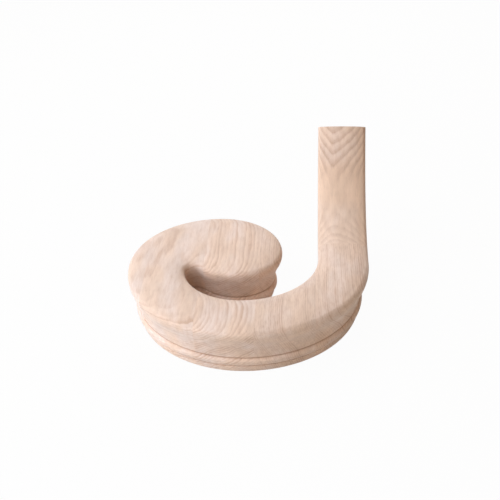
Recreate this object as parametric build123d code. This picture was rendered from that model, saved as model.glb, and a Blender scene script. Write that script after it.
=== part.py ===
"""Left-hand volute handrail fitting with a rising leg, in one piece of red oak.

The level scroll winds inwards to a round eye that sits on the starting newel. At its outer
end the moulded rail straightens and eases upwards to the slope of the stair. The origin is
the newel's axis on the underside of the eye, +Z is up, and the leg runs along +Y.
"""
from build123d import *
from math import atan2, cos, degrees, hypot, radians, sin, sqrt
import os

# Rail stock, the common 2-1/4 x 2-3/8 inch section
rail_width = 57.15
rail_height = 60.3

# Plan of the scroll, measured to the nose of the moulding
leg_nose_x = 155.0
outer_turn_y = -33.0
outer_radii = (138.0, 133.5, 100.0, 73.5)
eye_front_radii = (48.5, 56.0)
eye_side_turn = 55.0
inner_turn_y = -23.5
inner_radii = (85.0, 65.5)
crotch_radius = 9.5

# Moulding, as insets from the nose and heights above the underside
moulding_depth = 24.0
shoulder_radius = 6.0
crown_angle = 19.0
cove_inset = 8.8
cove_foot_z = 19.5
cove_radius = 42.0
bead_inset = 6.4
bead_top = (12.3, 18.3)
bead_foot = (12.0, 8.1)
base_edge = (10.0, 7.1)
base_inset = 9.7
base_foot_inset = 10.7

# Up-easing at the leg
easing_radius = 151.0
rake_angle = 56.5
straight_length = 29.0

# Bores for the newel pin and the rail bolt
pin_diameter = 19.05
pin_depth = 30.0
bolt_diameter = 6.35
bolt_depth = 45.0
bolt_height = 23.8

# Worked out from the dimensions above
crown_depth = moulding_depth - shoulder_radius * (1 - sin(radians(crown_angle)))
crown_radius = crown_depth / sin(radians(crown_angle))
crown_rise = crown_radius * (1 - cos(radians(crown_angle)))
nose_z = rail_height - crown_rise - shoulder_radius * cos(radians(crown_angle))
easing_axis = Axis((0, inner_turn_y, rail_height + easing_radius), (1, 0, 0))


def crotch_turns():
    """Turns of the eye's flatter front, the crotch and the inner edge that meet tangent."""
    side_x = leg_nose_x - outer_radii[0] - outer_radii[1] + outer_radii[2] + outer_radii[3]
    side_y = outer_turn_y - outer_radii[0] + outer_radii[1] + outer_radii[2] - outer_radii[3]
    flatter = eye_front_radii[1] - eye_front_radii[0]
    eye_x = side_x - eye_front_radii[0] - flatter * cos(radians(eye_side_turn))
    eye_y = side_y + flatter * sin(radians(eye_side_turn))
    inner_x = leg_nose_x - rail_width - inner_radii[0]
    inner_y = inner_turn_y - inner_radii[0] + inner_radii[1]
    gap_x = eye_x - inner_x
    gap_y = eye_y - inner_y
    gap = hypot(gap_x, gap_y)
    to_inner = inner_radii[1] - crotch_radius
    to_eye = eye_front_radii[1] + crotch_radius
    along = (to_inner**2 - to_eye**2 + gap**2) / (2 * gap)
    across = sqrt(to_inner**2 - along**2)
    crotch_x = inner_x + (along * gap_x - across * gap_y) / gap
    crotch_y = inner_y + (along * gap_y + across * gap_x) / gap
    from_eye = degrees(atan2(crotch_y - eye_y, crotch_x - eye_x)) % 360
    from_inner = degrees(atan2(crotch_y - inner_y, crotch_x - inner_x)) % 360
    return 360 - from_eye - eye_side_turn, from_inner - from_eye + 180, 270 - from_inner


def outline(inset):
    """Edges of the plan outline at an inset from the nose, from the leg round to the leg."""
    eye_turn, crotch_turn, inner_turn = crotch_turns()
    start = (leg_nose_x - inset, inner_turn_y)
    edges = [Line(start, (leg_nose_x - inset, outer_turn_y))]
    turns = [(radius - inset, -90) for radius in outer_radii]
    turns += [(eye_front_radii[0] - inset, -eye_side_turn), (eye_front_radii[1] - inset, -eye_turn)]
    turns += [(crotch_radius + inset, crotch_turn)]
    turns += [(inner_radii[1] + inset, inner_turn), (inner_radii[0] + inset, 90)]
    for radius, angle in turns:
        last = edges[-1]
        edges.append(JernArc(start=last @ 1, tangent=last % 1, radius=radius, arc_size=angle))
    return edges


def moulding_curve():
    """Moulded side from the foot up to the crown, as insets across and heights up."""
    cove_turn = 2 * degrees(atan2(cove_inset, nose_z - cove_foot_z))
    nose_radius = (nose_z - cove_foot_z) / sin(radians(cove_turn)) - cove_radius
    base = ThreePointArc((base_foot_inset, 0), (base_inset, base_edge[1] / 2), base_edge)
    low_quirk = Line(base_edge, bead_foot)
    bead = ThreePointArc(bead_foot, (bead_inset, (bead_foot[1] + bead_top[1]) / 2), bead_top)
    quirk = Line(bead_top, (cove_inset, cove_foot_z))
    cove = JernArc(start=quirk @ 1, tangent=(0, 1), radius=cove_radius, arc_size=cove_turn)
    nose = JernArc(start=cove @ 1, tangent=cove % 1, radius=nose_radius, arc_size=-cove_turn)
    shoulder = JernArc(start=nose @ 1, tangent=nose % 1, radius=shoulder_radius, arc_size=crown_angle - 90)
    crown = JernArc(start=shoulder @ 1, tangent=shoulder % 1, radius=crown_radius, arc_size=-crown_angle)
    return [base, low_quirk, bead, quirk, cove, nose, shoulder, crown]


def moulding_face():
    """Closed half section, from the nose in to the depth of the moulding."""
    curve = moulding_curve()
    inner_foot = (moulding_depth, 0)
    back = Line(curve[-1] @ 1, inner_foot)
    foot = Line(inner_foot, (base_foot_inset, 0))
    return make_face([*curve, back, foot])


def scroll():
    """Level scroll: the moulding swept round the plan outline, with a flat-topped core."""
    start = Plane(origin=(leg_nose_x, inner_turn_y, 0), x_dir=(-1, 0, 0), z_dir=(0, 1, 0))
    rim = sweep(start * moulding_face(), path=Wire(outline(0)))
    inner_edges = outline(moulding_depth)
    joint_line = Line(inner_edges[-1] @ 1, inner_edges[0] @ 0)
    core = extrude(make_face([*inner_edges, joint_line]), rail_height, dir=(0, 0, 1))
    return rim + core


def rail_face():
    """Full rail section where the level turn ends, facing along the leg."""
    half = moulding_face()
    middle = Pos(rail_width / 2, rail_height / 2) * Rectangle(rail_width - 2 * moulding_depth, rail_height)
    other_half = Pos(rail_width, 0) * mirror(half, Plane.YZ)
    section = half + middle + other_half
    return Plane(origin=(leg_nose_x, inner_turn_y, 0), x_dir=(-1, 0, 0), z_dir=(0, 1, 0)) * section


def leg():
    """Up-easing turned about its own axis, and the short straight that ends it square."""
    section = rail_face()
    easing = revolve(section, easing_axis, rake_angle)
    end_face = section.rotate(easing_axis, rake_angle)
    slope = Vector(0, cos(radians(rake_angle)), sin(radians(rake_angle)))
    return easing + extrude(end_face, straight_length, dir=slope)


def end_plane():
    """Plane of the rail joint at the top of the leg, with its origin on the underside."""
    rise = rail_height + easing_radius
    foot_y = inner_turn_y + rise * sin(radians(rake_angle)) + straight_length * cos(radians(rake_angle))
    foot_z = rise * (1 - cos(radians(rake_angle))) + straight_length * sin(radians(rake_angle))
    normal = (0, cos(radians(rake_angle)), sin(radians(rake_angle)))
    return Plane(origin=(leg_nose_x - rail_width / 2, foot_y, foot_z), x_dir=(-1, 0, 0), z_dir=normal)


def volute_fitting():
    """The whole fitting, with the blind bores for the newel pin and the rail bolt."""
    body = scroll() + leg()
    pin_bore = Pos(0, 0, pin_depth / 2) * Cylinder(pin_diameter / 2, pin_depth)
    bolt_bore = end_plane() * Pos(0, bolt_height, -bolt_depth / 2) * Cylinder(bolt_diameter / 2, bolt_depth)
    return body - pin_bore - bolt_bore


os.makedirs("parts", exist_ok=True)
export_step(volute_fitting(), "parts/volute_fitting.step")
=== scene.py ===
import bpy
from math import cos, radians, sin
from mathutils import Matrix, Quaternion, Vector

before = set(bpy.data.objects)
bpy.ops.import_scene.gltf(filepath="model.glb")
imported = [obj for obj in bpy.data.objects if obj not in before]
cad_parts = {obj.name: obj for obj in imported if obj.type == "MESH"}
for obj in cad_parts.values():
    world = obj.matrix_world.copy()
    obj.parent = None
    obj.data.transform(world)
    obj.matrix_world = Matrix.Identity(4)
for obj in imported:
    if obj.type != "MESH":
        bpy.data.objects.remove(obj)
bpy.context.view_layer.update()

# The volute fitting itself: one piece of raw red oak, glued up from boards laid side by side and
# a block of steeper grain for the rising leg. It is bandsawn to the scroll, moulded all round its
# edge, sanded and left unfinished, so the open pores and the year rings show.
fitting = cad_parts["volute_fitting"]
oak = bpy.data.materials.new("raw_red_oak")
oak.use_nodes = True
wood = oak.node_tree.nodes
wood_links = oak.node_tree.links
oak_shader = wood["Principled BSDF"]


def join(value, socket):
    """Give a socket what another node makes, or a plain number."""
    if isinstance(value, bpy.types.NodeSocket):
        wood_links.new(value, socket)
    else:
        socket.default_value = value


def reckon(operation, *values):
    """One step of arithmetic on the grain."""
    step = wood.new("ShaderNodeMath")
    step.operation = operation
    for value, socket in zip(values, step.inputs):
        join(value, socket)
    return step.outputs[0]


def product(first, *others):
    """Values multiplied together."""
    for other in others:
        first = reckon("MULTIPLY", first, other)
    return first


def along(point, direction):
    """How far a point of the wood lies along a direction."""
    step = wood.new("ShaderNodeVectorMath")
    step.operation = "DOT_PRODUCT"
    join(point, step.inputs[0])
    join(direction, step.inputs[1])
    return step.outputs["Value"]


def between(share, first, second, kind="FLOAT"):
    """The first value where the share is 0, the second where it is 1."""
    step = wood.new("ShaderNodeMix")
    step.data_type = kind
    inputs = [socket for socket in step.inputs if socket.enabled]
    for value, socket in zip((share, first, second), inputs):
        join(value, socket)
    return next(socket for socket in step.outputs if socket.enabled)


def cloudy(point, detail=2.0):
    """Soft uneven pattern about 0.5, as in growing wood."""
    step = wood.new("ShaderNodeTexNoise")
    join(point, step.inputs["Vector"])
    step.inputs["Scale"].default_value = 1.0
    step.inputs["Detail"].default_value = detail
    return step.outputs["Fac"]


def figure(size, detail=2.0):
    """Soft pattern in the grain, of a size across it and a length along it in millimetres."""
    across, length = size
    step = wood.new("ShaderNodeMapping")
    join(grain, step.inputs["Vector"])
    step.inputs["Scale"].default_value = (1 / across, 1 / length, 1 / across)
    return cloudy(step.outputs[0], detail)


def spread(value, low, high, to_low=0.0, to_high=1.0):
    """A range of values stretched smoothly to another range, and cut off at its ends."""
    step = wood.new("ShaderNodeMapRange")
    step.interpolation_type = "SMOOTHSTEP"
    for part, socket in zip((value, low, high, to_low, to_high), step.inputs):
        join(part, socket)
    return step.outputs[0]


# The glued blank, in millimetres: boards along the leg, numbered from the one under the eye,
# and the leg's own block behind a joint across the rail.
surface_place = wood.new("ShaderNodeTexCoord")
millimetres = wood.new("ShaderNodeMapping")
millimetres.inputs["Scale"].default_value = (1000, 1000, 1000)
join(surface_place.outputs["Object"], millimetres.inputs["Vector"])
blank = millimetres.outputs[0]
blank_axes = wood.new("ShaderNodeSeparateXYZ")
join(blank, blank_axes.inputs[0])
blank_x, blank_y, blank_z = blank_axes.outputs
board_width = 63.0
board_edge_x = -31.0
leg_joint_y = -3.0
leg_block_x = 90.0
behind_joint = reckon("GREATER_THAN", blank_y, leg_joint_y)
in_leg = product(behind_joint, reckon("GREATER_THAN", blank_x, leg_block_x))
on_level = reckon("SUBTRACT", 1.0, in_leg)
board_place = reckon("DIVIDE", reckon("SUBTRACT", blank_x, board_edge_x), board_width)
board = reckon("FLOOR", board_place)
left_boards = reckon("LESS_THAN", board, -0.5)
right_boards = reckon("GREATER_THAN", board, 0.5)

# Each board's own stretch of grain, with the leg's turned to its slope.
leg_grain_slope = radians(36)
leg_grain = wood.new("ShaderNodeVectorRotate")
leg_grain.rotation_type = "X_AXIS"
leg_grain.inputs["Angle"].default_value = -leg_grain_slope
join(blank, leg_grain.inputs["Vector"])
board_shift_x = 217.0
board_shift_y = 391.0
board_shift = wood.new("ShaderNodeCombineXYZ")
join(product(board, board_shift_x), board_shift.inputs["X"])
join(product(board, board_shift_y), board_shift.inputs["Y"])
board_grain = wood.new("ShaderNodeVectorMath")
board_grain.operation = "ADD"
join(blank, board_grain.inputs[0])
join(board_shift.outputs[0], board_grain.inputs[1])
grain = between(in_leg, board_grain.outputs[0], leg_grain.outputs[0], "VECTOR")

# Year rings: how each board was cut from the log sets the slant of its rings and their width.
left_cut = radians(10.5)
left_slant = Vector((-0.97, 0.242, 0))
left_ring_width = 3.0
middle_cut = radians(33)
middle_ring_width = 2.8
right_cut = radians(67)
right_ring_width = 2.1
left_rings = (left_slant * sin(left_cut) + Vector((0, 0, cos(left_cut)))) / left_ring_width
middle_rings = Vector((-sin(middle_cut), 0, cos(middle_cut))) / middle_ring_width
right_rings = Vector((sin(right_cut), 0, cos(right_cut))) / right_ring_width
level_count = between(left_boards, along(blank, middle_rings), along(blank, left_rings))
level_count = between(right_boards, level_count, along(blank, right_rings))

# The leg's rings follow the slope of its grain and arch about the heart of the log, more and
# more sharply towards the top.
leg_ring_width = 4.1
heart_x = 114.0
heart_flare = 0.26
leg_rings = Vector((0, -sin(leg_grain_slope), cos(leg_grain_slope))) / leg_ring_width
heart_round = spread(blank_z, 68.0, 100.0, 150.0, 4.0)
from_heart = reckon("POWER", reckon("SUBTRACT", blank_x, heart_x), 2.0)
from_heart = reckon("SQRT", reckon("ADD", from_heart, heart_round))
leg_drop = product(from_heart, heart_flare / leg_ring_width)
leg_count = reckon("SUBTRACT", along(blank, leg_rings), leg_drop)

# The tree grew unevenly, so the rings sway and ripple, more in the level boards than in the leg.
# Each pair in early_shares is an age within the ring and the share of early wood at that age.
sway_size = (35.0, 160.0)
level_sway = 3.2
leg_sway = 0.7
ripple_size = (8.0, 50.0)
level_ripple = 0.9
leg_ripple = 0.3
ring_count = between(in_leg, level_count, leg_count)
sway = reckon("SUBTRACT", figure(sway_size), 0.5)
ring_count = reckon("ADD", ring_count, product(sway, between(in_leg, level_sway, leg_sway)))
ripple = reckon("SUBTRACT", figure(ripple_size), 0.5)
ring_count = reckon("ADD", ring_count, product(ripple, between(in_leg, level_ripple, leg_ripple)))
early_shares = ((0.0, 0.25), (0.12, 1.0), (0.35, 0.75), (0.55, 0.3), (0.85, 0.0), (1.0, 0.25))
ring_wood = wood.new("ShaderNodeValToRGB")
join(reckon("FRACT", ring_count), ring_wood.inputs[0])
ring_stops = ring_wood.color_ramp.elements
for place, share in early_shares[2:]:
    ring_stops.new(place)
for stop, (place, share) in zip(ring_stops, early_shares):
    stop.position = place
    stop.color = (share, share, share, 1)

# How strongly each ring shows: by its season, by spells of dry years, and by the board.
fade_size = (20.0, 90.0)
left_ring_share = 0.65
right_ring_share = 0.6
dry_spell_rate = 0.4
dry_spell_shift = 7.3
least_dry = 0.4
season = wood.new("ShaderNodeTexWhiteNoise")
season.noise_dimensions = "1D"
join(reckon("FLOOR", ring_count), season.inputs["W"])
season_strength = spread(season.outputs["Value"], 0.0, 1.0, 0.35, 1.0)
faded = spread(figure(fade_size), 0.35, 0.65, 0.5, 1.1)
right_share = between(right_boards, 1.0, right_ring_share)
left_share = between(left_boards, 1.0, left_ring_share)
growth_years = wood.new("ShaderNodeCombineXYZ")
join(product(ring_count, dry_spell_rate), growth_years.inputs["X"])
join(product(board, dry_spell_shift), growth_years.inputs["Y"])
dry_years = spread(cloudy(growth_years.outputs[0], 1.0), 0.35, 0.65)
dry_strength = reckon("ADD", dry_years, least_dry)
level_strength = product(season_strength, faded, right_share, left_share, dry_strength)
leg_foot = spread(blank_z, 66.0, 82.0, 0.16, 0.0)
leg_head = spread(blank_z, 96.0, 114.0, 0.15, 0.72)
ring_strength = between(in_leg, level_strength, reckon("ADD", leg_foot, leg_head))
early = product(ring_wood.outputs["Color"], ring_strength)

# Open pores: fine long grooves, most of them in the early wood of each ring.
fine_pore_size = (0.6, 9.0)
fine_pore_share = 0.6
long_pore_size = (1.2, 9.0)
late_pores = 0.3
early_pores = 0.7
fine_pores = spread(figure(fine_pore_size, 1.0), 0.55, 0.72)
long_pores = spread(figure(long_pore_size, 1.0), 0.56, 0.74)
pores = reckon("MAXIMUM", product(fine_pores, fine_pore_share), long_pores)
pores = product(pores, reckon("ADD", product(early, early_pores), late_pores))

# Streaks, dry years and short flecks brown the wood between the rings as well.
streak_size = (4.0, 24.0)
dry_tone = 0.11
fleck_size = (1.3, 9.0)
fleck_share = between(right_boards, 0.12, 0.26)
early = reckon("ADD", early, spread(figure(streak_size), 0.35, 0.7, 0.0, 0.3))
early = reckon("ADD", early, product(dry_years, dry_tone, on_level))
flecks = spread(figure(fleck_size, 1.0), 0.4, 0.72)
early = reckon("ADD", early, product(flecks, fleck_share, on_level))

# Colour: pale pinkish late wood with tan patches, browner early wood and darker pores. The leg
# has its own tan above the bend and down its right side.
late_colour = (0.86, 0.675, 0.575, 1)
early_colour = (0.66, 0.43, 0.305, 1)
pore_colour = (0.45, 0.26, 0.16, 1)
tan_colour = (0.86, 0.62, 0.46, 1)
leg_colour = (0.86, 0.60, 0.43, 1)
patch_size = (28.0, 75.0)
most_tan = 0.85
pore_darkness = 0.34
patch = figure(patch_size)
tan = spread(patch, 0.36, 0.6, between(right_boards, 0.1, 0.36))
late = between(product(tan, most_tan), late_colour, tan_colour, "RGBA")
leg_tan = product(spread(blank_z, 70.0, 88.0), spread(blank_z, 128.0, 104.0))
leg_tan = reckon("MAXIMUM", leg_tan, spread(blank_x, 141.0, 150.0))
leg_tan = product(spread(leg_tan, 0.0, 1.0, 0.12, 1.0), in_leg)
late = between(leg_tan, late, leg_colour, "RGBA")
colour = between(early, late, early_colour, "RGBA")
colour = between(product(pores, pore_darkness), colour, pore_colour, "RGBA")

# Tone: boards and patches differ a little in brightness, and end grain is darker.
leg_tone = 1.01
tone_size = (17.0, 46.0)
board_tint = wood.new("ShaderNodeTexWhiteNoise")
board_tint.noise_dimensions = "1D"
join(board, board_tint.inputs["W"])
board_tone = between(in_leg, spread(board_tint.outputs["Value"], 0.0, 1.0, 0.98, 1.03), leg_tone)
patch_tone = spread(figure(tone_size, 3.0), 0.3, 0.7, 0.955, 1.045)
grain_line = between(in_leg, (0, 1, 0), (0, cos(leg_grain_slope), sin(leg_grain_slope)), "VECTOR")
cut_across = reckon("ABSOLUTE", along(surface_place.outputs["Normal"], grain_line))
end_tone = spread(cut_across, 0.85, 0.96, 1.0, 0.94)
tone = wood.new("ShaderNodeHueSaturation")
join(colour, tone.inputs["Color"])
join(product(board_tone, patch_tone, end_tone), tone.inputs["Value"])

# Painted shade: the narrow quirks of the moulding and other tight creases are darkened towards a
# deep brown where ambient occlusion finds them closed in, standing in for the shade that falls
# there.
crease_shade_colour = (0.50, 0.29, 0.17, 1)
quirk_reach = 0.004
nook = wood.new("ShaderNodeAmbientOcclusion")
nook.only_local = True
nook.samples = 8
nook.inputs["Distance"].default_value = quirk_reach
painted_crease_shade = spread(nook.outputs["AO"], 0.8, 0.4, 0.0, 0.45)
final_colour = between(painted_crease_shade, tone.outputs["Color"], crease_shade_colour, "RGBA")
join(final_colour, oak_shader.inputs["Base Color"])

# Sanded surface: pores and early wood lie a little lower, and the pores scatter more.
sanding_size = (0.5, 0.5)
sanding_height = 0.15
early_depth = 0.35
pore_roughness = 0.2
sanding = product(figure(sanding_size), sanding_height)
depth = reckon("ADD", pores, product(early, early_depth))
relief = wood.new("ShaderNodeBump")
relief.inputs["Strength"].default_value = 0.5
relief.inputs["Distance"].default_value = 0.0002
join(reckon("SUBTRACT", sanding, depth), relief.inputs["Height"])
join(relief.outputs["Normal"], oak_shader.inputs["Normal"])
patch_roughness = spread(patch, 0.3, 0.7, 0.56, 0.66)
join(reckon("ADD", product(pores, pore_roughness), patch_roughness), oak_shader.inputs["Roughness"])
oak_shader.inputs["Specular IOR Level"].default_value = 0.22
oak_shader.inputs["Sheen Weight"].default_value = 0.35
oak_shader.inputs["Sheen Roughness"].default_value = 0.5
fitting.data.materials.clear()
fitting.data.materials.append(oak)


# The pale floor is a photographer's white sweep, just under the fitting. It is stage, not part
# of the fitting: the camera sees it nearly white, and other light meets a warm pale grey.
def seen_plainly(tree):
    """1 for what the camera sees, directly, in a gloss or through glass, and 0 for other light."""
    path = tree.nodes.new("ShaderNodeLightPath")
    share = path.outputs["Is Camera Ray"]
    for ray in ("Is Glossy Ray", "Is Transmission Ray"):
        step = tree.nodes.new("ShaderNodeMath")
        step.operation = "ADD"
        step.use_clamp = True
        tree.links.new(share, step.inputs[0])
        tree.links.new(path.outputs[ray], step.inputs[1])
        share = step.outputs[0]
    return share


floor_size = 6
floor_z = -0.0005
floor_whiteness = 0.965
bpy.ops.mesh.primitive_plane_add(size=floor_size, location=(0, 0, floor_z))
floor = bpy.context.object
floor.name = "floor"
floor_paint = bpy.data.materials.new("white_sweep")
floor_paint.use_nodes = True
floor_nodes = floor_paint.node_tree.nodes
floor_links = floor_paint.node_tree.links
floor_shader = floor_nodes["Principled BSDF"]
floor_shader.inputs["Base Color"].default_value = (0.70, 0.66, 0.61, 1)
floor_shader.inputs["Roughness"].default_value = 0.9
floor_glow = floor_nodes.new("ShaderNodeEmission")
floor_glow.inputs["Color"].default_value = (1, 1, 1, 1)
floor_share = floor_nodes.new("ShaderNodeMath")
floor_share.operation = "MULTIPLY"
floor_share.inputs[1].default_value = floor_whiteness
floor_mix = floor_nodes.new("ShaderNodeMixShader")
floor_links.new(seen_plainly(floor_paint.node_tree), floor_share.inputs[0])
floor_links.new(floor_share.outputs[0], floor_mix.inputs[0])
floor_links.new(floor_shader.outputs[0], floor_mix.inputs[1])
floor_links.new(floor_glow.outputs[0], floor_mix.inputs[2])
floor_links.new(floor_mix.outputs[0], floor_nodes["Material Output"].inputs["Surface"])
floor.data.materials.append(floor_paint)

# World: a weak even light from all round, which the camera sees as plain white.
world = bpy.data.worlds.new("studio")
bpy.context.scene.world = world
world.use_nodes = True
world_nodes = world.node_tree.nodes
world_links = world.node_tree.links
ambient = world_nodes["Background"]
ambient.inputs["Color"].default_value = (1, 1, 1, 1)
ambient.inputs["Strength"].default_value = 0.04
white = world_nodes.new("ShaderNodeBackground")
white.inputs["Color"].default_value = (1, 1, 1, 1)
white.inputs["Strength"].default_value = 1.0
world_mix = world_nodes.new("ShaderNodeMixShader")
world_links.new(seen_plainly(world.node_tree), world_mix.inputs[0])
world_links.new(ambient.outputs[0], world_mix.inputs[1])
world_links.new(white.outputs[0], world_mix.inputs[2])
world_links.new(world_mix.outputs[0], world_nodes["World Output"].inputs["Surface"])

# Softboxes: a large key on the left with a low cool fill below it, a second box behind and above
# that skims the tops, and weak fills from the front and, warmer, from the right. Each row gives
# the name, the direction, the size in metres, the power in watts and the tint.
softboxes = (
    ("key_softbox", (-0.76, -0.25, 0.60), 1.8, 26, (0.93, 1.0, 1.11)),
    ("left_fill", (-0.8, -0.6, 0.05), 1.0, 3.4, (0.7, 1.0, 1.35)),
    ("back_softbox", (0.0, 0.75, 0.65), 0.9, 8.8, (1.0, 1.0, 1.0)),
    ("front_fill", (-0.15, -0.9, 0.42), 0.9, 4.4, (0.96, 1.0, 1.02)),
    ("right_fill", (0.85, -0.3, 0.45), 0.9, 2.3, (1.0, 0.72, 0.44)),
)
softbox_distance = 1.4
lit_centre = Vector((0.02, -0.02, 0.03))
for softbox_name, direction, softbox_size, energy, tint in softboxes:
    softbox_light = bpy.data.lights.new(softbox_name, "AREA")
    softbox_light.shape = "SQUARE"
    softbox_light.size = softbox_size
    softbox_light.energy = energy
    softbox_light.color = tint
    softbox = bpy.data.objects.new(softbox_name, softbox_light)
    bpy.context.collection.objects.link(softbox)
    towards = Vector(direction).normalized()
    softbox.location = lit_centre + towards * softbox_distance
    softbox.rotation_euler = (-towards).to_track_quat("-Z", "Y").to_euler()

# Camera, at the photograph's viewing angle: it looks along the leg from in front and above, a
# little from the right.
camera_elevation = radians(32.19)
camera_turn = radians(-4.05)
camera_roll = radians(-1.71)
camera_distance = 1.1647
camera_aim = Vector((0.0168, 0.0317, 0.0296))
look_level = Vector((sin(camera_turn), cos(camera_turn), 0))
look = look_level * cos(camera_elevation) - Vector((0, 0, sin(camera_elevation)))
camera_data = bpy.data.cameras.new("camera")
camera_data.sensor_width = 36
camera_data.lens = 69.65
camera = bpy.data.objects.new("camera", camera_data)
bpy.context.collection.objects.link(camera)
camera.location = camera_aim - look * camera_distance
camera.rotation_mode = "QUATERNION"
camera.rotation_quaternion = look.to_track_quat("-Z", "Y") @ Quaternion((0, 0, 1), camera_roll)
scene = bpy.context.scene
scene.camera = camera
scene.view_settings.view_transform = "Standard"
